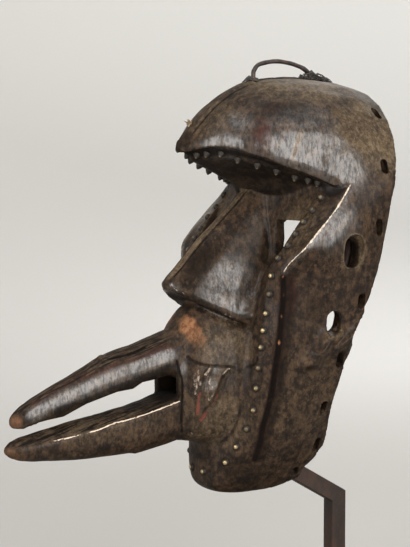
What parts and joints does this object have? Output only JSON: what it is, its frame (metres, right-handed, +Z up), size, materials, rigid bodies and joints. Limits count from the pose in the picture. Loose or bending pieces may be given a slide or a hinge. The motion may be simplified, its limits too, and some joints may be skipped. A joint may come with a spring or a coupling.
{
  "type": "beaked wooden face mask on a stand",
  "caption": "Hollow carved wooden face mask with an overhanging brow, wedge nose and open two-part beak, a wire loop on its crown, held on a bent steel bar with a flat foot.",
  "frame": {"origin": "middle of the stand foot's flat underside", "axes": "+Z up along the stand, -Y the way the face and beak look, +X the mask's own left"},
  "size_m": [0.1638, 0.2935, 0.3802],
  "materials": {
    "wood": "dark oiled patina, glossy where rubbed and matt elsewhere",
    "tack": "worn, dark at the rim",
    "wire": "dark wrought wire, slightly rusted",
    "fibre": "matted dark plant fibre",
    "stand_steel": "dark brown patinated steel, satin"
  },
  "bodies": {
    "root": {"brow_tack_left_1": "tack", "brow_tack_left_2": "tack", "brow_tack_left_3": "tack", "brow_tack_left_4": "tack", "brow_tack_left_5": "tack", "brow_tack_left_6": "tack", "brow_tack_left_7": "tack", "brow_tack_left_8": "tack", "brow_tack_left_9": "tack", "brow_tack_right_1": "tack", "brow_tack_right_2": "tack", "brow_tack_right_3": "tack", "brow_tack_right_4": "tack", "brow_tack_right_5": "tack", "brow_tack_right_6": "tack", "brow_tack_right_7": "tack", "brow_tack_right_8": "tack", "brow_tack_right_9": "tack", "face_tack_left_1": "tack", "face_tack_left_10": "tack", "face_tack_left_11": "tack", "face_tack_left_12": "tack", "face_tack_left_13": "tack", "face_tack_left_14": "tack", "face_tack_left_15": "tack", "face_tack_left_16": "tack", "face_tack_left_17": "tack", "face_tack_left_18": "tack", "face_tack_left_2": "tack", "face_tack_left_3": "tack", "face_tack_left_4": "tack", "face_tack_left_5": "tack", "face_tack_left_6": "tack", "face_tack_left_7": "tack", "face_tack_left_8": "tack", "face_tack_left_9": "tack", "face_tack_right_1": "tack", "face_tack_right_10": "tack", "face_tack_right_11": "tack", "face_tack_right_12": "tack", "face_tack_right_13": "tack", "face_tack_right_14": "tack", "face_tack_right_15": "tack", "face_tack_right_16": "tack", "face_tack_right_17": "tack", "face_tack_right_18": "tack", "face_tack_right_2": "tack", "face_tack_right_3": "tack", "face_tack_right_4": "tack", "face_tack_right_5": "tack", "face_tack_right_6": "tack", "face_tack_right_7": "tack", "face_tack_right_8": "tack", "face_tack_right_9": "tack", "loop_lashing": "fibre", "mask": "wood", "stand_bar": "stand_steel", "stand_foot": "stand_steel", "stand_fork": "stand_steel", "top_loop": "wire"}
  },
  "joints": []
}
